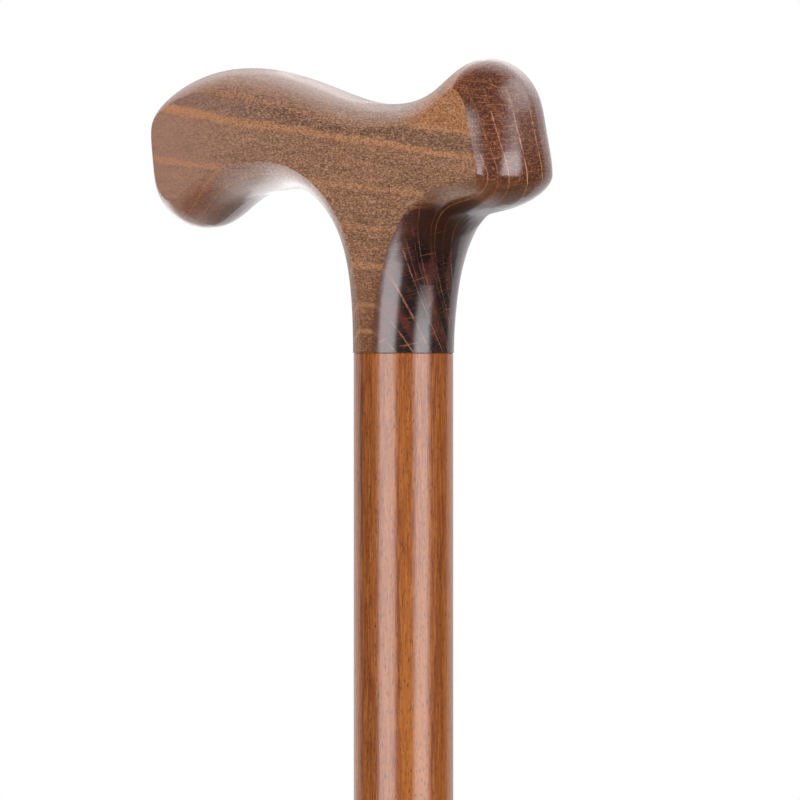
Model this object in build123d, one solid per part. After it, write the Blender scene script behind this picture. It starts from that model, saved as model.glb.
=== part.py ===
"""Single point walking cane: flat-sided derby handle, round tapered shaft, push-on rubber ferrule.

Frame: +Z up, +X towards the nose of the handle, origin on the shaft's axis at the foot of the
ferrule. Millimetres throughout. The cane is symmetric about the plane Y = 0.
"""
from build123d import *
import math
import os

# ---- driving dimensions -------------------------------------------------------------------
JOINT_Z = 849.0              # height of the handle-to-shaft joint above the floor

SHAFT_R = 11.1               # parallel upper part of the shaft, 7/8 in across
TIP_R = 9.5                  # parallel tip inside the ferrule, 3/4 in across
TAPER_TOP_Z = 600.0          # the taper runs between these two heights
TAPER_FOOT_Z = 60.0
TIP_CHAMFER = 1.0
JOINT_CHAMFER = 0.2          # on the shaft's top edge: the fine line at the joint

HANDLE_HALF_THICKNESS = 11.1  # the handle is cut from a plank as thick as the shaft
NECK_R = 11.25               # the neck ends 0.15 proud of the shaft all round

STUD_R = 4.0                 # M8 steel stud, glued in half its length each way
STUD_LENGTH = 75.0
STUD_PITCH = 1.25
STUD_THREAD_DEPTH = 0.77
STUD_CREST_SHARE = 0.1       # share of the pitch that is the flat top of the thread
STUD_CHAMFER = 0.9
STUD_BORE_R = 4.25           # leaves room for glue all round the stud
STUD_BORE_DEPTH = 39.5       # in the handle and in the shaft alike
STUD_BORE_CHAMFER = 0.5

FERRULE_HEIGHT = 42.0
FERRULE_BASE_R = 19.0
FERRULE_BASE_HEIGHT = 5.0
FERRULE_BASE_BEVEL = 1.0
FERRULE_WAIST_R = 13.4       # narrowest, above the flared base
FERRULE_WAIST_Z = 16.0
FERRULE_FLARE_LOW = (18.5, 8.0)    # radius and height that the flare bends towards, going up
FERRULE_FLARE_HIGH = (14.2, 11.0)
FERRULE_BEAD_R = 14.2        # thickened rim round the mouth
FERRULE_BEAD_HEIGHT = 4.5
FERRULE_LIP_R = 12.8         # where the bead has rounded over to the top
FERRULE_LIP_DROP = 1.0
FERRULE_FLOOR = 8.0          # rubber between the ground and the washer
SOCKET_CLEARANCE = 0.05      # radial, so that the sleeve can be drawn off the tip
SOCKET_CHAMFER = 0.8
RIB_COUNT = 4                # round ribs to grip the sleeve by
RIB_FIRST_Z = 19.8
RIB_PITCH = 4.2
RIB_R = 0.8
TREAD_GROOVE_RADII = (7.0, 10.6, 14.2)   # rings cut in the sole; the pad inside them is the foot
TREAD_GROOVE_WIDTH = 1.6
TREAD_GROOVE_DEPTH = 1.8
TREAD_GROOVE_TAPER = 0.6     # width of a groove's bottom over the width of its mouth
NOTCH_COUNT = 24             # half-round notches in the base's edge
NOTCH_R = 1.1

WASHER_R = 9.3               # steel disc in the bottom of the socket
WASHER_HOLE_R = 3.0
WASHER_THICKNESS = 1.5
WASHER_CHAMFER = 0.2

# ---- worked out from them -----------------------------------------------------------------
TIP_Z = FERRULE_FLOOR + WASHER_THICKNESS
SOCKET_R = TIP_R + SOCKET_CLEARANCE
NECK_EDGE_ANGLE = math.degrees(math.asin(HANDLE_HALF_THICKNESS / NECK_R))
NECK_INSET = NECK_R * (1 - math.cos(math.radians(NECK_EDGE_ANGLE)))

# Middle outline of the handle, seen from the side, from the rear of the neck over the palm rest
# and the nose to the front of the neck: x, height above the joint, how far in from this outline
# the flat side begins, and the angle in degrees that the rounded edge turns through to reach it.
OUTLINE = [
    (-NECK_R, 0.0, NECK_INSET, NECK_EDGE_ANGLE),
    (-11.8, 12.0, 8.8, 76.0),
    (-14.6, 24.0, 7.5, 73.0),
    (-21.5, 32.5, 6.3, 71.0),
    (-31.0, 36.9, 5.8, 70.0),
    (-42.0, 37.1, 6.0, 70.0),
    (-56.0, 33.6, 6.2, 70.0),
    (-68.0, 29.0, 6.0, 70.0),
    (-75.6, 34.0, 5.5, 70.0),
    (-78.5, 45.0, 5.0, 70.0),
    (-77.6, 54.5, 4.2, 70.0),
    (-67.2, 62.6, 5.0, 76.0),
    (-52.0, 65.2, 5.4, 82.0),
    (-32.0, 61.9, 5.5, 84.0),
    (-12.0, 56.5, 5.7, 84.0),
    (4.0, 55.6, 6.4, 82.0),
    (17.0, 59.2, 6.9, 76.0),
    (29.0, 64.3, 6.8, 69.0),
    (36.7, 59.6, 7.0, 68.0),
    (40.8, 48.0, 6.8, 68.0),
    (40.8, 36.0, 5.4, 68.0),
    (31.5, 31.1, 5.7, 69.0),
    (21.0, 28.7, 6.4, 70.0),
    (15.3, 21.9, 7.6, 73.0),
    (12.3, 11.0, 9.1, 77.0),
    (NECK_R, 0.0, NECK_INSET, NECK_EDGE_ANGLE),
]
STRETCHES = 3                # pieces of skin between two neighbouring outline points


def across_edge(point, outward, inset, angle):
    """Control points of one rounded edge, from the middle outline to the flat side at +Y.

    The edge is a quarter of an ellipse cut short where it has turned through the given angle.
    """
    turn = math.radians(angle)
    sideways = HANDLE_HALF_THICKNESS / math.sin(turn)
    inward = inset / (1 - math.cos(turn))
    reach = 4 / 3 * math.tan(turn / 4)
    profile = [
        (0.0, 0.0),
        (0.0, reach * sideways),
        (
            inset - reach * inward * math.sin(turn),
            HANDLE_HALF_THICKNESS - reach * sideways * math.cos(turn),
        ),
        (inset, HANDLE_HALF_THICKNESS),
    ]
    return [point - outward * depth + Vector(0, side, 0) for depth, side in profile]


def smooth_slopes(marks, values, first, last):
    """Slopes at the marks of the smoothest cubic curve through the values, by elimination."""
    steps = [after - before for before, after in zip(marks, marks[1:])]
    rises = [(b - a) * (1 / step) for a, b, step in zip(values, values[1:], steps)]
    shares = [0.0]
    loads = [first]
    for k in range(1, len(steps)):
        pull = (rises[k - 1] * steps[k] + rises[k] * steps[k - 1]) * 3
        pivot = 2 * (steps[k - 1] + steps[k]) - steps[k] * shares[-1]
        shares.append(steps[k - 1] / pivot)
        loads.append((pull - loads[-1] * steps[k]) * (1 / pivot))
    slopes = [last]
    for share, load in zip(reversed(shares), reversed(loads)):
        slopes.insert(0, load - slopes[0] * share)
    return slopes


def cubic_spans(marks, values, first, last):
    """The same curve as Bezier spans: four control values from each mark to the next."""
    slopes = smooth_slopes(marks, values, first, last)
    spans = []
    for k in range(len(marks) - 1):
        third = (marks[k + 1] - marks[k]) / 3
        leave = values[k] + slopes[k] * third
        arrive = values[k + 1] - slopes[k + 1] * third
        spans.append([values[k], leave, arrive, values[k + 1]])
    return spans


def on_span(span, share):
    """Value of a Bezier span at a share of its way, and the direction it is moving in."""
    rest = 1 - share
    a, b, c, d = span
    value = a * rest**3 + b * (3 * rest**2 * share) + c * (3 * rest * share**2) + d * share**3
    moving = (b - a) * rest**2 + (c - b) * (2 * rest * share) + (d - c) * share**2
    return value, moving


def handle_control_rows():
    """Control points of the rounded edge: for each stretch of it, four rows of four."""
    middle = [Vector(x, 0, z) for x, z, _, _ in OUTLINE]
    travelled = [0.0]
    for start, end in zip(middle, middle[1:]):
        travelled.append(travelled[-1] + (end - start).length)
    up = Vector(0, 0, 1)
    outline = cubic_spans(travelled, middle, up, -up)
    insets = cubic_spans(travelled, [row[2] for row in OUTLINE], 0, 0)
    angles = cubic_spans(travelled, [row[3] for row in OUTLINE], 0, 0)

    marks = []
    sections = []
    for k, spans in enumerate(zip(outline, insets, angles)):
        last_span = k == len(outline) - 1
        for step in range(STRETCHES + last_span):
            share = step / STRETCHES
            (point, along), (inset, _), (angle, _) = [on_span(span, share) for span in spans]
            outward = Vector(-along.Z, 0, along.X).normalized()
            sections.append(across_edge(point, outward, inset, angle))
            marks.append(travelled[k] + (travelled[k + 1] - travelled[k]) * share)

    columns = [cubic_spans(marks, column, up, -up) for column in zip(*sections)]
    return [list(zip(*stretch)) for stretch in zip(*columns)]


def mirrored(points):
    """The same points on the other side of the cane's plane of symmetry."""
    return [Vector(p.X, -p.Y, p.Z) for p in points]


def make_handle_blank():
    """Plank-cut handle standing on Z = 0: flat sides, edges rounded all round, round neck."""
    spans = handle_control_rows()
    faces = []
    far_edges = []
    near_edges = []
    for span in spans:
        faces.append(Face.make_bezier_surface(span))
        faces.append(Face.make_bezier_surface([mirrored(row) for row in span]))
        far = [row[-1] for row in span]
        far_edges.append(Edge.make_bezier(*far))
        near_edges.append(Edge.make_bezier(*mirrored(far)))

    first = spans[0][0]
    last = spans[-1][-1]
    far_foot = Edge.make_line(last[-1], first[-1])
    near_foot = Edge.make_line(*mirrored([last[-1], first[-1]]))
    ends = [Edge.make_bezier(*row) for row in (first, mirrored(first), last, mirrored(last))]
    faces.append(Face(Wire(far_edges + [far_foot])))
    faces.append(Face(Wire(near_edges + [near_foot])))
    faces.append(Face(Wire(ends + [far_foot, near_foot])))
    return Solid(Shell(faces))


# ---- turned pieces --------------------------------------------------------------------------
def turned(profile):
    """Solid of revolution about Z from (radius, height) corners."""
    outline = make_face(Polyline(*[(r, 0, z) for r, z in profile], close=True))
    return revolve(outline, Axis.Z)


def ring(radius, height, section_radius):
    """Torus about Z."""
    return Pos(0, 0, height) * Torus(radius, section_radius)


def stud_bore(direction):
    """Blind hole for half of the stud, from the joint upwards (+1) or downwards (-1)."""
    mouth_r = STUD_BORE_R + STUD_BORE_CHAMFER
    return turned([
        (0, JOINT_Z),
        (mouth_r, JOINT_Z),
        (STUD_BORE_R, JOINT_Z + direction * STUD_BORE_CHAMFER),
        (STUD_BORE_R, JOINT_Z + direction * STUD_BORE_DEPTH),
        (0, JOINT_Z + direction * STUD_BORE_DEPTH),
    ])


def make_handle():
    return Pos(0, 0, JOINT_Z) * make_handle_blank() - stud_bore(+1)


def make_shaft():
    """Round stick: parallel tip, long taper, parallel upper part, blind hole in its top."""
    stick = turned([
        (0, TIP_Z),
        (TIP_R - TIP_CHAMFER, TIP_Z),
        (TIP_R, TIP_Z + TIP_CHAMFER),
        (TIP_R, TAPER_FOOT_Z),
        (SHAFT_R, TAPER_TOP_Z),
        (SHAFT_R, JOINT_Z - JOINT_CHAMFER),
        (SHAFT_R - JOINT_CHAMFER, JOINT_Z),
        (0, JOINT_Z),
    ])
    return stick - stud_bore(-1)


def make_joint_stud():
    """Threaded steel stud across the joint; its thread is drawn as rings."""
    low = JOINT_Z - STUD_LENGTH / 2
    high = JOINT_Z + STUD_LENGTH / 2
    root = STUD_R - STUD_THREAD_DEPTH
    corners = [(0, low), (STUD_R - STUD_CHAMFER, low), (root, low + STUD_PITCH)]
    flank = STUD_PITCH * (1 - STUD_CREST_SHARE) / 2
    turns = int(STUD_LENGTH / STUD_PITCH) - 2
    for turn in range(turns):
        foot = low + STUD_PITCH * (turn + 1)
        corners.append((STUD_R, foot + flank))
        corners.append((STUD_R, foot + STUD_PITCH - flank))
        corners.append((root, foot + STUD_PITCH))
    corners += [(STUD_R - STUD_CHAMFER, high), (0, high)]
    return turned(corners)


def ferrule_body():
    """Outside of the ferrule, full: flared base, waist, sleeve and the bead round its mouth."""
    top = FERRULE_HEIGHT
    bead_foot = top - FERRULE_BEAD_HEIGHT
    with BuildPart() as body:
        with BuildSketch(Plane.XZ):
            with BuildLine():
                Polyline(
                    (0, 0),
                    (FERRULE_BASE_R - FERRULE_BASE_BEVEL, 0),
                    (FERRULE_BASE_R, FERRULE_BASE_BEVEL),
                    (FERRULE_BASE_R, FERRULE_BASE_HEIGHT),
                )
                Bezier(
                    (FERRULE_BASE_R, FERRULE_BASE_HEIGHT),
                    FERRULE_FLARE_LOW,
                    FERRULE_FLARE_HIGH,
                    (FERRULE_WAIST_R, FERRULE_WAIST_Z),
                )
                Line((FERRULE_WAIST_R, FERRULE_WAIST_Z), (FERRULE_WAIST_R, bead_foot))
                Bezier(
                    (FERRULE_WAIST_R, bead_foot),
                    (FERRULE_BEAD_R, bead_foot),
                    (FERRULE_BEAD_R, top - FERRULE_LIP_DROP),
                    (FERRULE_LIP_R, top),
                )
                Polyline((FERRULE_LIP_R, top), (0, top), (0, 0))
            make_face()
        revolve(axis=Axis.Z)
    return body.part


def make_ferrule():
    """Push-on rubber foot with a socket for the tip, grip ribs and a ringed sole."""
    ferrule = ferrule_body()
    for rib in range(RIB_COUNT):
        ferrule += ring(FERRULE_WAIST_R, RIB_FIRST_Z + RIB_PITCH * rib, RIB_R)
    ferrule -= turned([
        (0, FERRULE_FLOOR),
        (SOCKET_R, FERRULE_FLOOR),
        (SOCKET_R, FERRULE_HEIGHT - SOCKET_CHAMFER),
        (SOCKET_R + SOCKET_CHAMFER, FERRULE_HEIGHT),
        (0, FERRULE_HEIGHT),
    ])
    mouth = TREAD_GROOVE_WIDTH / 2
    bottom = mouth * TREAD_GROOVE_TAPER
    for radius in TREAD_GROOVE_RADII:
        ferrule -= turned([
            (radius - mouth, 0),
            (radius + mouth, 0),
            (radius + bottom, TREAD_GROOVE_DEPTH),
            (radius - bottom, TREAD_GROOVE_DEPTH),
        ])
    notch = Cylinder(NOTCH_R, FERRULE_BASE_HEIGHT, align=(Align.CENTER, Align.CENTER, Align.MIN))
    ferrule -= [
        location * notch for location in PolarLocations(FERRULE_BASE_R + NOTCH_R / 2, NOTCH_COUNT)
    ]
    return ferrule


def make_ferrule_washer():
    """Steel disc that keeps the tip from punching through the rubber."""
    low = FERRULE_FLOOR
    high = FERRULE_FLOOR + WASHER_THICKNESS
    return turned([
        (WASHER_HOLE_R, low),
        (WASHER_R - WASHER_CHAMFER, low),
        (WASHER_R, low + WASHER_CHAMFER),
        (WASHER_R, high - WASHER_CHAMFER),
        (WASHER_R - WASHER_CHAMFER, high),
        (WASHER_HOLE_R, high),
    ])


NODES = {
    "handle": make_handle,
    "shaft": make_shaft,
    "joint_stud": make_joint_stud,
    "ferrule": make_ferrule,
    "ferrule_washer": make_ferrule_washer,
}

if __name__ == "__main__":
    os.makedirs("parts", exist_ok=True)
    for node, make in NODES.items():
        piece = make()
        export_step(piece, f"parts/{node}.step")
        print(f"{node}: {piece.volume:.0f} mm3, valid {piece.is_valid}")
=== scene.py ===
"""Looks for the single point cane: camera, studio, varnished beech, rubber and steel.

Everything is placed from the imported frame. Metres; +Z up, +X towards the nose of the handle.
Shader coordinates are millimetres from the joint between handle and shaft.
"""

import math

import bpy
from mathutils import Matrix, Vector


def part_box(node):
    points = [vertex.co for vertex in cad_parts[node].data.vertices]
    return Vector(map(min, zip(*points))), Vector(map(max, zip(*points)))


MM = 0.001                        # one millimetre in the scene's metres

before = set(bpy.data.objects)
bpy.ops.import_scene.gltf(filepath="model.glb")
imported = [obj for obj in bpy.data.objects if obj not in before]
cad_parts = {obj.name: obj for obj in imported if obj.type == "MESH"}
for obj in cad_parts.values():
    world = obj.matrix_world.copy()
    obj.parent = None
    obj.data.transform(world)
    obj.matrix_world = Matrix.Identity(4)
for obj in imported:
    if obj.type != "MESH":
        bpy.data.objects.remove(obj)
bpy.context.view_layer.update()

_, shaft_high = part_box("shaft")
JOINT_Z = shaft_high.z

# ---- camera and the directions round it ------------------------------------------------------
VIEW_AZIMUTH = math.radians(48)
CAMERA_DISTANCE = 1.5
CAMERA_BELOW_JOINT = 10.44 * MM
CAMERA_LEFT_OF_SHAFT = 0.78 * MM
FIELD_WIDTH = 177.8 * MM          # width of the view at the shaft's axis
SENSOR_WIDTH = 36.0               # millimetres, as Blender's cameras count it
NEAREST, FARTHEST = 0.05, 50      # what the camera sees lies between these

TO_CAMERA = Vector((math.sin(VIEW_AZIMUTH), -math.cos(VIEW_AZIMUTH), 0))
SCREEN_RIGHT = Vector((math.cos(VIEW_AZIMUTH), math.sin(VIEW_AZIMUTH), 0))
UP = Vector((0, 0, 1))
SUBJECT = Vector((0, 0, JOINT_Z))


def make_camera():
    """The photo's view: level, and VIEW_AZIMUTH round from side-on."""
    data = bpy.data.cameras.new("camera")
    data.sensor_width = SENSOR_WIDTH
    data.lens = SENSOR_WIDTH * CAMERA_DISTANCE / FIELD_WIDTH
    data.clip_start = NEAREST
    data.clip_end = FARTHEST
    camera = bpy.data.objects.new("camera", data)
    bpy.context.scene.collection.objects.link(camera)
    camera.location = (
        SUBJECT + TO_CAMERA * CAMERA_DISTANCE - UP * CAMERA_BELOW_JOINT
        - SCREEN_RIGHT * CAMERA_LEFT_OF_SHAFT
    )
    camera.rotation_euler = (math.radians(90), 0, VIEW_AZIMUTH)
    bpy.context.scene.camera = camera


# ---- small helpers for shader graphs ----------------------------------------------------------
class Graph:
    """Builds one material, world or light. Most methods add a node and return its main output.

    Wherever a method takes a value, that is a number, a tuple or another node's output.
    """

    def __init__(self, owner):
        owner.use_nodes = True
        self.tree = owner.node_tree
        self.tree.nodes.clear()

    def node(self, kind, values=None, **settings):
        made = self.tree.nodes.new(kind)
        for key, value in settings.items():
            setattr(made, key, value)
        self.fill(made, values or {})
        return made

    def put(self, socket, value):
        if isinstance(value, bpy.types.NodeSocket):
            self.tree.links.new(value, socket)
        else:
            socket.default_value = value

    def fill(self, node, values):
        """Puts values on a node's inputs, by their names or numbers."""
        for key, value in values.items():
            self.put(node.inputs[key], value)

    def show(self, surface, output_kind):
        """Connects the last node of a graph to a new output node."""
        output = self.node(output_kind)
        self.tree.links.new(surface.outputs[0], output.inputs[0])

    def math(self, operation, *values):
        made = self.node("ShaderNodeMath", dict(enumerate(values)), operation=operation)
        return made.outputs[0]

    def times(self, *values):
        product, *others = values
        for value in others:
            product = self.math("MULTIPLY", product, value)
        return product

    def minus(self, a, b):
        return self.math("SUBTRACT", a, b)

    def times_plus(self, a, b, c):
        """a times b, plus c."""
        return self.math("MULTIPLY_ADD", a, b, c)

    def vector(self, operation, *values, output=0):
        made = self.node("ShaderNodeVectorMath", dict(enumerate(values)), operation=operation)
        return made.outputs[output]

    def dot(self, a, b):
        return self.vector("DOT_PRODUCT", a, b, output="Value")

    def parts(self, vector):
        return self.node("ShaderNodeSeparateXYZ", {"Vector": vector}).outputs

    def joined(self, x, y, z):
        return self.node("ShaderNodeCombineXYZ", {"X": x, "Y": y, "Z": z}).outputs[0]

    def noise(self, place, per_mm, detail=2.0, roughness=0.5, distortion=0.0):
        """Noise of 0 to 1 round 0.5; per_mm is how fast it changes along x, y and z."""
        made = self.node("ShaderNodeTexNoise", {
            "Vector": self.vector("MULTIPLY", place, per_mm), "Scale": 1.0,
            "Detail": detail, "Roughness": roughness, "Distortion": distortion,
        })
        return made.outputs["Fac"]

    def step(self, value, start, full, to_start=0.0, to_full=1.0):
        """Goes smoothly from to_start to to_full as the value goes from start to full."""
        made = self.node(
            "ShaderNodeMapRange", dict(enumerate((value, start, full, to_start, to_full))),
            interpolation_type="SMOOTHSTEP",
        )
        return made.outputs[0]

    def between(self, share, a, b):
        """The number a where the share is 0, b where it is 1, and smoothly between."""
        return self.step(share, 0.0, 1.0, a, b)

    def ramp(self, value, stops):
        made = self.node("ShaderNodeValToRGB", {"Fac": value})
        elements = made.color_ramp.elements
        while len(elements) < len(stops):
            elements.new(0.5)
        for element, (place, color) in zip(elements, stops):
            element.position = place
            element.color = (*color, 1)
        return made.outputs[0]

    def mix(self, share, a, b):
        """Colour a where the share is 0, b where it is 1."""
        made = self.node("ShaderNodeMix", data_type="RGBA", clamp_factor=True)
        factor, color_a, color_b, result = 0, 6, 7, 2       # the node's sockets for colours
        self.put(made.inputs[factor], share)
        for socket, color in ((color_a, a), (color_b, b)):
            self.put(made.inputs[socket], (*color, 1) if isinstance(color, tuple) else color)
        return made.outputs[result]

    def paint(self, color, *layers):
        """Lays more colours over a colour; each layer is its share, then its colour."""
        for share, layer in layers:
            color = self.mix(share, color, layer)
        return color

    def bump(self, height, strength, distance, normal=None):
        made = self.node(
            "ShaderNodeBump", {"Height": height, "Strength": strength, "Distance": distance}
        )
        if normal is not None:
            self.put(made.inputs["Normal"], normal)
        return made.outputs[0]


def srgb(red, green, blue):
    """Linear colour from the usual 0 to 255 numbers."""
    def linear(value):
        share = value / 255
        return share / 12.92 if share <= 0.04045 else ((share + 0.055) / 1.055) ** 2.4
    return (linear(red), linear(green), linear(blue))


def new_material(name):
    """A material with one Principled shader; returns its graph and the shader too."""
    material = bpy.data.materials.new(name)
    graph = Graph(material)
    shader = graph.node("ShaderNodeBsdfPrincipled")
    graph.show(shader, "ShaderNodeOutputMaterial")
    return material, graph, shader


def local_mm(g):
    """Object coordinates in millimetres from the joint."""
    place = g.node("ShaderNodeTexCoord").outputs["Object"]
    from_joint = g.vector("SUBTRACT", place, (0, 0, JOINT_Z))
    return g.vector("MULTIPLY", from_joint, (1 / MM, 1 / MM, 1 / MM))


def object_normal(g):
    """Direction that the surface faces, in the object's own axes."""
    world = g.node("ShaderNodeNewGeometry").outputs["Normal"]
    turned = g.node(
        "ShaderNodeVectorTransform", {"Vector": world},
        vector_type="NORMAL", convert_from="WORLD", convert_to="OBJECT",
    )
    return g.vector("NORMALIZE", turned.outputs[0])


def dress(node, material):
    """Gives a CAD node its material in every slot."""
    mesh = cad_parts[node].data
    if not mesh.materials:
        mesh.materials.append(material)
    for index in range(len(mesh.materials)):
        mesh.materials[index] = material


# ---- growth rings of the handle's wood --------------------------------------------------------
RING_CENTRE_Y = 107.0       # middle of the tree: mm to the far side of the shaft's axis
RING_CENTRE_Z = 66.0        # and above the joint
RING_ZERO = 125.7           # ring depths count from 0 at this distance from it, and grow inwards
GRAIN_FALL = 0.084          # how fast the grain drops towards the nose, at the height FALL_Z
GRAIN_FAN = 0.0025          # and how much faster for each mm above it
FALL_Z = 30.0
WAVE = 0.5                  # slow wander of the rings, mm
RAGGED = 0.30               # fine wander of the rings, mm
LINE_CORE = 0.2             # share of a ring line's half width that is at full strength
RAY_CORE = 0.3              # the same for the rays that cross the rings
RAY_DRIFT = 2.0             # wander of the rays, in spacings
RAY_ENDS = 0.08             # how softly a stretch of ray ends, in levels of noise
RAY_TO_RAY = 3.7            # step through the noise from one ray to the next
# Each ring: depth, half width of its pale line in mm, strength on the flat sides, strength on
# the end grain.
RINGS = (
    (-18.5, 0.4, 0.6, 0.6), (-14.8, 0.4, 0.5, 0.6), (-11.2, 0.4, 0.6, 0.6), (-7.3, 0.35, 0.6, 0.6),
    (-4.8, 0.35, 0.6, 0.7), (-1.4, 0.4, 0.7, 0.8), (1.5, 0.3, 0.5, 0.7), (2.2, 0.25, 0.1, 0.25),
    (3.3, 0.25, 0.2, 0.3), (3.95, 0.22, 0.7, 0.6), (6.0, 0.22, 1.0, 0.15), (6.75, 0.16, 0.5, 0.8),
    (8.5, 0.25, 0.3, 0.4), (10.6, 0.3, 0.5, 0.8), (15.0, 0.4, 0.8, 1.0), (19.7, 0.35, 0.8, 0.9),
    (24.6, 0.4, 0.8, 0.8), (29.0, 0.4, 0.8, 0.8), (34.0, 0.4, 0.8, 0.8),
)
DEPTH, HALF_WIDTH, ON_FLAT, ON_END = range(4)       # what a ring's four numbers are

BAND_TONE = srgb(98, 69, 53)
# Tone of the wood between the rings on the flat sides, by ring depth.
TONES = (
    (-12.0, srgb(112, 73, 48)), (-4.8, srgb(114, 75, 50)), (1.5, srgb(116, 81, 57)),
    (4.0, srgb(118, 82, 58)), (5.7, srgb(124, 87, 62)), (6.12, BAND_TONE),
    (6.6, BAND_TONE), (6.95, srgb(126, 88, 63)), (9.0, srgb(128, 92, 68)),
)
# Deeper in, the wood is dark just short of each ring's line and pale just past it.
ROUND_RING = ((-0.8, srgb(104, 71, 51)), (0.3, srgb(128, 91, 67)))


def ring_space(g, place):
    """Depth of a point in the tree's rings, and how far round the tree it is, in mm."""
    x, y, z = g.parts(place)
    fall = g.times_plus(g.minus(z, FALL_Z), GRAIN_FAN, GRAIN_FALL)
    level = g.times_plus(x, fall, z)
    across = g.minus(RING_CENTRE_Y, y)
    above = g.minus(RING_CENTRE_Z, level)
    distance = g.math("SQRT", g.math("ADD", g.times(across, across), g.times(above, above)))
    depth = g.minus(RING_ZERO, distance)
    around = g.times(g.math("ARCTAN2", above, across), RING_ZERO)

    slow = g.noise(place, (0.02, 0.06, 0.06))
    fine = g.noise(place, (0.5, 1.4, 1.4))
    for noise, size in ((slow, WAVE), (fine, RAGGED)):
        depth = g.math("ADD", depth, g.times(g.minus(noise, 0.5), size))
    return depth, around


def ring_lines(g, depth, widen, surface):
    """Pale lines of the rings, as strong as they are on that surface, and 0 between."""
    lines = 0.0
    for ring in RINGS:
        off = g.math("ABSOLUTE", g.minus(depth, ring[DEPTH]))
        half_width = ring[HALF_WIDTH] * widen
        line = g.step(off, half_width, half_width * LINE_CORE, 0.0, ring[surface])
        lines = g.math("MAXIMUM", lines, line)
    return lines


def ray_lines(g, depth, around, spacing, thickness, length, rarity):
    """Thin lines across the rings, spacing mm apart, each broken into stretches.

    A stretch shows where a noise that changes over the length is above the level rarity.
    """
    drift = g.noise(g.joined(depth, around, 0.0), (0.1, 0.35, 0.0))
    place = g.times_plus(drift, RAY_DRIFT, g.math("DIVIDE", around, spacing))
    off = g.times(g.math("PINGPONG", place, 0.5), spacing)
    line = g.step(off, thickness, thickness * RAY_CORE)
    number = g.math("ROUND", place)
    stretch = g.noise(g.joined(depth, number, 0.0), (1 / length, RAY_TO_RAY, 0.0), 1.0)
    return g.times(line, g.step(stretch, rarity, rarity + RAY_ENDS))


# ---- the handle -----------------------------------------------------------------------------------
# Zones of its wood and of painted sheen and shade, each from where it starts to where it is full.
# Those with X or Z in their names are in mm from the joint, and those along the band and the wedge
# in ring depth.
# painted sheen: the flat sides turn paler and greyer towards the tail
PAINTED_SHEEN_TAIL_X = (0.0, -75.0)
CRISP_X = (-70.0, -30.0)            # the grain is crisper away from the tail
CRISP_Z = (6.0, 28.0)               # and away from the joint
SCORCHED_Z = (16.0, 2.0)            # the flat sides darken towards the joint
BAND_X = (-4.0, 12.0)               # near the nose one ring is a dark band
BAND_DEPTH = (6.1, 6.2)
BAND_END = (6.68, 6.74)
WEDGE_X = (9.0, 20.0)               # and beyond that band the wood is warm, with a pale edge
WEDGE_EDGE = (6.68, 6.72)
WEDGE_EDGE_END = (6.86, 6.78)
ARRIS_X = 1.8                       # front edge of the flat side: its place at the joint,
ARRIS_FLARE = 0.012                 # how it leans forward, in mm for each square mm of height,
ARRIS_STRIP = (-5.5, 0.5)           # and the dark strip along it, in mm past it
ARRIS_Z = (34.0, 24.0)
CROWN_X = (15.0, 26.0)              # the rounded top of the nose shows end grain too
END_GRAIN_X = (-30.0, -8.0)         # end grain is weaker on the tail
NECK_Z = (40.0, 31.0)               # the neck's dark stain, at NECK_FRONT_X
NECK_FRONT_X = 12.0
NECK_SLOPE = 0.4                    # it ends this much lower for each mm further forward
NECK_X = (-20.0, -8.0)
# the hollow under the nose, where shade is painted
HOLLOW_X = (8.0, 16.0)              # the hollow under the nose
HOLLOW_Z = (40.0, 36.5)
LOW_HOLLOW_Z = (34.0, 31.0)
BLACK_SHADE_HOLLOW_X = (36.0, 28.0)
NOSE_LINES_Z = (62.0, 48.0)         # ring lines fade out towards the top of the nose

# Zones by the way the surface faces: a share of end grain, or a part of its normal, where
# sideways is the size of the part along y.
END_GRAIN = (0.27, 0.36)
TURNING = (0.04, 0.28)
TURNING_UPWARD = (-0.5, -0.1)
CROWN_SIDEWAYS = (0.985, 0.95)
CROWN_UPWARD = (-0.5, -0.2)
# painted shade under the nose: dusky where the surface faces down, black where it faces further down
# and to the front
DUSKY_SHADE_UPWARD = (-0.35, -0.5)
BLACK_SHADE_UPWARD = (-0.56, -0.7)
BLACK_SHADE_SIDEWAYS = (0.68, 0.56)
HOLLOW_LINES_UPWARD = (-0.4, -0.6)
HOLLOW_LINES_SIDEWAYS = (0.35, 0.6)


def facing_parts(g, normal):
    """How far the surface faces to either side, and how far upward."""
    _, left, upward = g.parts(normal)
    return g.math("ABSOLUTE", left), upward


def end_grain_share(g, place, normal):
    """How squarely the surface faces along the grain; the same, ragged and with the crown."""
    x, _, _ = g.parts(place)
    sideways, upward = facing_parts(g, normal)
    grain = Vector((1, 0, -GRAIN_FALL)).normalized()
    facing = g.dot(normal, tuple(grain))
    crown = g.times(
        0.3, g.step(x, *CROWN_X), g.step(sideways, *CROWN_SIDEWAYS), g.step(upward, *CROWN_UPWARD)
    )
    mottle = g.noise(place, (0.5, 1.2, 1.2), 3.0)
    ragged = g.times_plus(g.minus(mottle, 0.5), 0.10, facing)
    return facing, g.math("ADD", ragged, crown)


def neck_share(g, place):
    """1 on the neck, 0 on the rest of the handle."""
    x, _, z = g.parts(place)
    level = g.times_plus(g.minus(x, NECK_FRONT_X), NECK_SLOPE, z)
    return g.times(g.step(level, *NECK_Z), g.step(x, *NECK_X))


def band_tones(g, depth):
    """Tone of the flat-sawn wood at a ring depth."""
    tones = list(TONES)
    last_listed, _ = TONES[-1]
    for ring in RINGS:
        if ring[DEPTH] > last_listed:
            tones.extend((ring[DEPTH] + gap, tone) for gap, tone in ROUND_RING)
    first, _ = tones[0]
    last, _ = tones[-1]
    reach = last - first
    share = g.math("DIVIDE", g.minus(depth, first), reach)
    return g.ramp(share, [((at - first) / reach, tone) for at, tone in tones])


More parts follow.
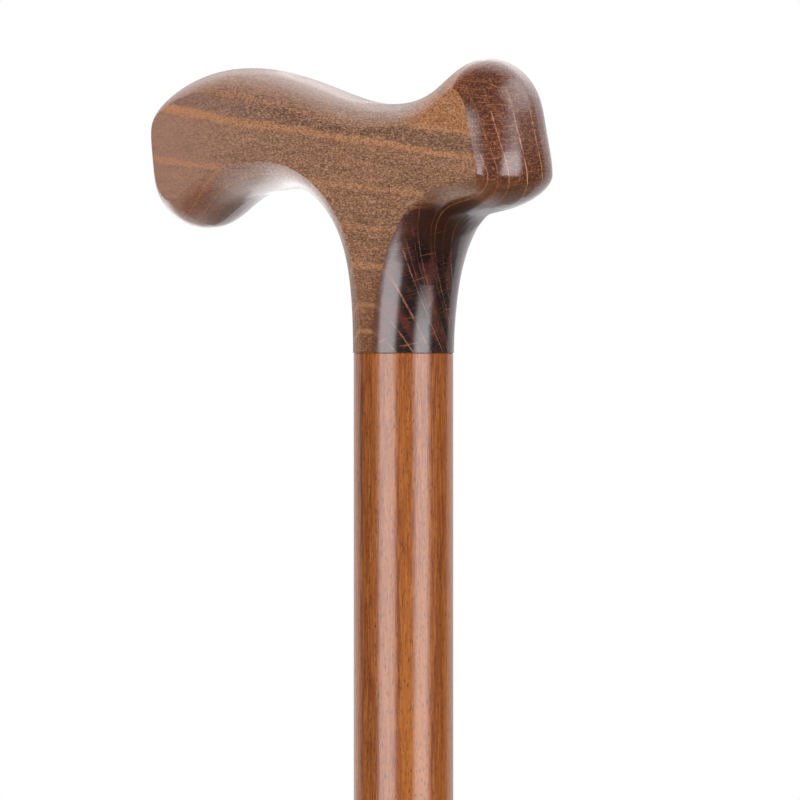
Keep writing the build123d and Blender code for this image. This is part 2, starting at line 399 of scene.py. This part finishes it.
def flat_grain_colour(g, place, depth, pores, flecks):
    """The flat-sawn sides: a tone for each band between rings, pale ring lines, dark pores, and a
    painted sheen towards the tail.
    """
    x, _, z = g.parts(place)
    clouds = g.noise(place, (0.02, 0.12, 0.12), 3.0)
    streaks = g.noise(place, (0.16, 1.3, 1.3), 3.0, 0.6)
    grit = g.noise(place, (1.5, 3.4, 3.4), 3.0, 0.75)
    crisp = g.times(g.step(x, *CRISP_X, 0.3, 1.0), g.step(z, *CRISP_Z, 0.5, 1.0))

    past_band = g.step(depth, *BAND_END)
    band = g.times(0.8, g.step(x, *BAND_X), g.step(depth, *BAND_DEPTH), g.minus(1.0, past_band))
    wedge = g.step(x, *WEDGE_X)
    edge = g.times(0.5, wedge, g.step(depth, *WEDGE_EDGE), g.step(depth, *WEDGE_EDGE_END))
    past_arris = g.minus(x, g.times_plus(g.times(z, z), ARRIS_FLARE, ARRIS_X))
    strip = g.times(0.8, g.step(past_arris, *ARRIS_STRIP), g.step(z, *ARRIS_Z))

    return g.paint(
        band_tones(g, depth),
        (g.step(clouds, 0.35, 0.7, 0.0, 0.3), srgb(88, 60, 46)),
        # painted sheen, paler and greyer towards the tail
        (g.times(0.4, g.step(x, *PAINTED_SHEEN_TAIL_X)), srgb(138, 110, 102)),
        (g.times(crisp, g.step(streaks, 0.5, 0.34, 0.0, 0.5)), srgb(70, 46, 32)),
        (g.times(crisp, g.step(streaks, 0.52, 0.68, 0.0, 0.4)), srgb(146, 106, 78)),
        (band, BAND_TONE),
        (g.times(0.6, wedge, past_band), srgb(154, 96, 48)),
        (edge, srgb(172, 122, 80)),
        (strip, srgb(86, 45, 20)),
        (g.times(0.5, g.step(z, *SCORCHED_Z)), srgb(88, 52, 28)),
        (g.times(0.85, ring_lines(g, depth, 1.0, ON_FLAT)), srgb(156, 108, 72)),
        (g.times(crisp, g.step(pores, 0.52, 0.38, 0.0, 0.85)), srgb(58, 38, 27)),
        (g.times(crisp, g.step(flecks, 0.52, 0.68, 0.0, 0.6)), srgb(160, 124, 98)),
        (g.times(crisp, g.step(grit, 0.5, 0.36, 0.0, 0.55)), srgb(66, 44, 31)),
        (g.times(crisp, g.step(grit, 0.5, 0.64, 0.0, 0.5)), srgb(166, 128, 98)),
    )


def end_grain_colour(g, place, depth, around, facing, share, neck):
    """End grain: reddish brown and speckled on the nose, nearly black on the neck."""
    x, _, z = g.parts(place)
    squarely = g.step(share, 0.36, 0.8)
    nose_color = g.mix(squarely, srgb(96, 46, 24), srgb(72, 37, 22))
    neck_color = g.mix(squarely, srgb(50, 22, 14), srgb(20, 8, 7))
    spot_color = g.mix(neck, srgb(38, 16, 9), srgb(11, 5, 5))
    line_color = g.mix(neck, srgb(168, 120, 84), srgb(142, 92, 62))

    clouds = g.noise(g.joined(x, depth, around), (0.1, 0.45, 0.12), 3.0)
    speckle = g.noise(place, (2.2, 2.2, 2.2), 2.0, 0.6)
    hatch = ray_lines(g, depth, around, spacing=0.55, thickness=0.16, length=1.8, rarity=0.50)
    rays = ray_lines(g, depth, around, spacing=2.6, thickness=0.16, length=5.0, rarity=0.52)
    gaps = g.noise(g.joined(depth, around, x), (0.4, 0.3, 1.0), 4.0, 0.65)
    lines = g.times(
        ring_lines(g, depth, 0.5, ON_END), g.step(facing, 0.45, 0.62, 0.15, 0.8),
        g.step(gaps, 0.38, 0.58, 0.15, 1.0), g.step(z, *NOSE_LINES_Z),
    )
    return g.paint(
        g.mix(neck, nose_color, neck_color),
        (g.times(neck, g.step(clouds, 0.45, 0.7)), srgb(66, 26, 18)),
        (g.times(g.step(speckle, 0.48, 0.36), g.between(neck, 0.8, 0.35)), spot_color),
        (g.times(g.step(speckle, 0.54, 0.68), g.between(neck, 0.6, 0.08)), srgb(134, 82, 52)),
        (g.times(hatch, g.between(neck, 0.35, 0.08)), srgb(136, 90, 58)),
        (g.times(0.4, rays), srgb(140, 84, 50)),
        (lines, line_color),
    )


def hollow_shade_and_lines(g, place, normal, depth):
    """Layers under the nose: painted shade, dusky beside the flat side and black further in, and
    ring lines.

    The share of the black painted shade is returned as well.
    """
    x, _, z = g.parts(place)
    sideways, upward = facing_parts(g, normal)
    hollow = g.times(g.step(x, *HOLLOW_X), g.step(z, *HOLLOW_Z))
    low = g.step(z, *LOW_HOLLOW_Z)
    # painted shade where the hollow faces down, darker lower down
    dusky = g.times(hollow, g.step(upward, *DUSKY_SHADE_UPWARD), g.times_plus(low, 0.3, 0.5))
    # black painted shade deeper in, where the hollow faces further down
    black = g.times(
        0.75, hollow, g.step(x, *BLACK_SHADE_HOLLOW_X), g.step(upward, *BLACK_SHADE_UPWARD),
        g.step(sideways, *BLACK_SHADE_SIDEWAYS),
    )
    lines = g.times(
        0.75, hollow, ring_lines(g, depth, 0.6, ON_END), g.step(upward, *HOLLOW_LINES_UPWARD),
        g.step(sideways, *HOLLOW_LINES_SIDEWAYS, 0.25, 1.0),
    )
    # two layers of painted shade, then the rings' pale lines
    layers = (
        (dusky, g.mix(low, srgb(82, 56, 38), srgb(40, 22, 15))),
        (black, srgb(46, 22, 12)),
        (lines, srgb(150, 92, 58)),
    )
    return layers, black


def make_handle_wood():
    """Stained beech: flat-sawn sides, and darker varnished end grain on the nose and the neck."""
    material, g, shader = new_material("handle_beech")
    place = local_mm(g)
    normal = object_normal(g)
    depth, around = ring_space(g, place)
    facing, end_share = end_grain_share(g, place, normal)
    neck = neck_share(g, place)
    x, _, _ = g.parts(place)
    _, upward = facing_parts(g, normal)
    pores = g.noise(place, (1.4, 3.6, 3.6), 3.0, 0.7)
    flecks = g.noise(place, (1.0, 3.0, 3.0), 2.0, 0.6)

    # between flat side and end grain, the rounded edges are redder
    turning = g.times(0.6, g.step(end_share, *TURNING), g.step(upward, *TURNING_UPWARD, 0.2, 1.0))
    turning_color = g.mix(neck, srgb(100, 54, 26), srgb(58, 31, 21))
    on_end = g.step(end_share, *END_GRAIN)
    end_color = end_grain_colour(g, place, depth, around, facing, end_share, neck)
    # painted shade and ring lines under the nose; black is the share of the darkest painted shade
    hollow, black = hollow_shade_and_lines(g, place, normal, depth)
    # the wood's colour, with painted shade under the nose and a painted sheen towards the tail
    color = g.paint(
        flat_grain_colour(g, place, depth, pores, flecks),
        (turning, turning_color),
        (g.times(on_end, g.step(x, *END_GRAIN_X, 0.45, 1.0)), end_color),
        *hollow,
    )

    # end grain and undersides have a full coat of varnish, the flat sides and the hollow a thin one
    varnished = g.math("MAXIMUM", end_share, g.times(upward, -0.6))
    varnish = g.times(g.step(varnished, 0.0, 0.35, 0.4, 1.0), g.step(black, 0.0, 0.75, 1.0, 0.45))

    # pores make a fine relief; brushed varnish on the nose ripples more broadly
    fine = g.bump(g.times_plus(flecks, 0.5, pores), 0.25, 0.05 * MM)
    ripple = g.noise(place, (1.1, 1.1, 0.6), 3.0, 0.6, 0.8)
    ripple = g.times(ripple, on_end, g.minus(1.0, neck))
    g.fill(shader, {
        "Base Color": color, "Roughness": 0.55, "Specular IOR Level": 0.1,
        "Coat Weight": varnish, "Coat Roughness": 0.16,
        "Normal": g.bump(ripple, 1.0, 0.13 * MM, fine),
    })
    return material


# ---- the other materials ------------------------------------------------------------------------
def make_shaft_wood():
    """Long streaks and dark pores under gloss varnish."""
    material, g, shader = new_material("shaft_beech")
    place = local_mm(g)
    streaks = g.noise(place, (0.22, 0.22, 0.008), 4.0, 0.6)
    fine = g.noise(place, (2.6, 2.6, 0.12), 3.0, 0.6)
    pores = g.noise(place, (4.5, 4.5, 0.7), 2.0, 0.6)
    tones = g.ramp(streaks, [
        (0.30, srgb(84, 33, 4)), (0.47, srgb(110, 54, 9)), (0.62, srgb(128, 71, 16)),
    ])
    color = g.paint(
        tones,
        (g.step(fine, 0.42, 0.64, 0.0, 0.6), srgb(144, 86, 30)),
        (g.step(pores, 0.46, 0.32, 0.0, 0.8), srgb(50, 22, 8)),
    )
    g.fill(shader, {
        "Base Color": color, "Roughness": 0.5, "Specular IOR Level": 0.15,
        "Coat Weight": 0.75, "Coat Roughness": 0.18,
        "Normal": g.bump(g.math("ADD", fine, pores), 0.35, 0.06 * MM),
    })
    return material


def make_rubber():
    """Dusty black rubber."""
    material, g, shader = new_material("ferrule_rubber")
    place = local_mm(g)
    grain = g.noise(place, (1.8, 1.8, 1.8), 4.0)
    dust = g.noise(place, (0.12, 0.12, 0.12), 3.0)
    g.fill(shader, {
        "Base Color": g.mix(g.step(dust, 0.4, 0.75), srgb(34, 33, 32), srgb(58, 56, 53)),
        "Roughness": g.step(grain, 0.3, 0.7, 0.55, 0.72),
        "Normal": g.bump(grain, 0.3, 0.1 * MM),
    })
    return material


def make_steel():
    """Zinc-plated steel, duller where it is worn."""
    material, g, shader = new_material("zinc_steel")
    worn = g.noise(local_mm(g), (0.6, 0.6, 0.6), 4.0)
    g.fill(shader, {
        "Base Color": g.mix(worn, srgb(168, 170, 172), srgb(205, 205, 200)),
        "Metallic": 1.0, "Roughness": g.step(worn, 0.3, 0.7, 0.28, 0.42),
    })
    return material


# ---- studio ---------------------------------------------------------------------------------------
LIGHT_COLOR = (0.985, 0.96, 1.0)
FLOOR_RADIUS = 1.1          # inside the ring of lights, so that it is lit all over
FLOOR_SIDES = 96


def area_light(name, turn, distance, width, height, watts, lift=0.0, centre=0.0, fade=0.0):
    """Softbox round the handle: turn is degrees to the right of the camera, seen from above.

    It is aimed at the height centre above the joint, and stands lift above that. Its light fades
    towards its edges over the share fade of its size.
    """
    data = bpy.data.lights.new(name, "AREA")
    data.shape = "RECTANGLE"
    data.size = width
    data.size_y = height
    data.energy = watts
    data.color = LIGHT_COLOR
    lamp = bpy.data.objects.new(name, data)
    bpy.context.scene.collection.objects.link(lamp)
    angle = math.radians(turn)
    away = TO_CAMERA * math.cos(angle) + SCREEN_RIGHT * math.sin(angle)
    target = SUBJECT + UP * centre
    lamp.location = target + away * distance + UP * lift
    lamp.rotation_euler = (target - lamp.location).to_track_quat("-Z", "Y").to_euler()
    lamp.visible_camera = False
    if fade:
        fade_edges(data, fade)


def fade_edges(light, fade):
    """Dims an area light from its full strength to nothing at its edges."""
    g = Graph(light)
    u, v, _ = g.parts(g.node("ShaderNodeNewGeometry").outputs["Parametric"])
    bright = 1.0
    for across in (u, v):
        off_middle = g.math("ABSOLUTE", g.minus(across, 0.5))
        bright = g.times(bright, g.step(off_middle, 0.5, 0.5 - fade))
    g.show(g.node("ShaderNodeEmission", {"Strength": bright}), "ShaderNodeOutputLight")


def make_lights():
    area_light(
        "left_softbox", turn=-39, distance=1.6, width=1.45, height=1.5, watts=49,
        centre=-0.08, fade=0.22,
    )
    area_light(
        "right_softbox", turn=42.5, distance=1.6, width=1.4, height=1.4, watts=46,
        centre=0.08, fade=0.27,
    )
    area_light(
        "overhead", turn=76, distance=1.2, width=2.3, height=1.3, watts=30, lift=1.05, fade=0.28
    )
    for name, turn in (("back_left", -150), ("back_right", 150)):
        area_light(name, turn, distance=2.2, width=2.6, height=3.5, watts=24)


def make_world():
    """White behind the object; dimmer where it lights matt surfaces; panels where it is mirrored.

    A mirrored direction is bright beyond the object, either high up or below level and to the
    left, because those panels make the pale rims and the sheen on the nose.
    """
    world = bpy.data.worlds.new("studio")
    bpy.context.scene.world = world
    g = Graph(world)
    ray = g.node("ShaderNodeLightPath").outputs
    look = g.node("ShaderNodeTexCoord").outputs["Generated"]
    _, _, height = g.parts(look)
    beyond = g.dot(look, tuple(-TO_CAMERA))
    to_right = g.dot(look, tuple(SCREEN_RIGHT))

    soft = g.step(height, -0.5, 0.3, 0.32, 0.8)         # dimmer from below
    above = g.times(g.step(height, 0.1, 0.7), g.step(beyond, -0.1, 0.6, 0.12, 2.2))
    below = g.times(
        g.step(height, 0.0, -0.3), g.step(beyond, -0.1, 0.55, 0.0, 1.5),
        g.step(to_right, 0.15, -0.15, 0.25, 1.0),
    )
    mirrored = g.math("ADD", above, below)
    strength = g.times_plus(ray["Is Diffuse Ray"], soft, ray["Is Camera Ray"])
    strength = g.times_plus(ray["Is Glossy Ray"], mirrored, strength)
    backdrop = g.node("ShaderNodeBackground", {"Color": (1, 1, 1, 1), "Strength": strength})
    g.show(backdrop, "ShaderNodeOutputWorld")


def make_floor():
    """Round pale floor that neither lights the object nor shows in its gloss."""
    turns = [2 * math.pi * side / FLOOR_SIDES for side in range(FLOOR_SIDES)]
    rim = [(FLOOR_RADIUS * math.cos(turn), FLOOR_RADIUS * math.sin(turn), 0) for turn in turns]
    mesh = bpy.data.meshes.new("floor")
    mesh.from_pydata(rim, [], [range(FLOOR_SIDES)])
    floor = bpy.data.objects.new("floor", mesh)
    bpy.context.scene.collection.objects.link(floor)
    material, g, shader = new_material("pale_floor")
    g.fill(shader, {"Base Color": (0.8, 0.8, 0.79, 1), "Roughness": 0.7})
    mesh.materials.append(material)
    floor.visible_diffuse = False
    floor.visible_glossy = False


make_camera()
make_world()
make_lights()
make_floor()
dress("handle", make_handle_wood())
dress("shaft", make_shaft_wood())
dress("ferrule", make_rubber())
steel = make_steel()
dress("joint_stud", steel)
dress("ferrule_washer", steel)

bpy.context.scene.view_settings.view_transform = "Standard"
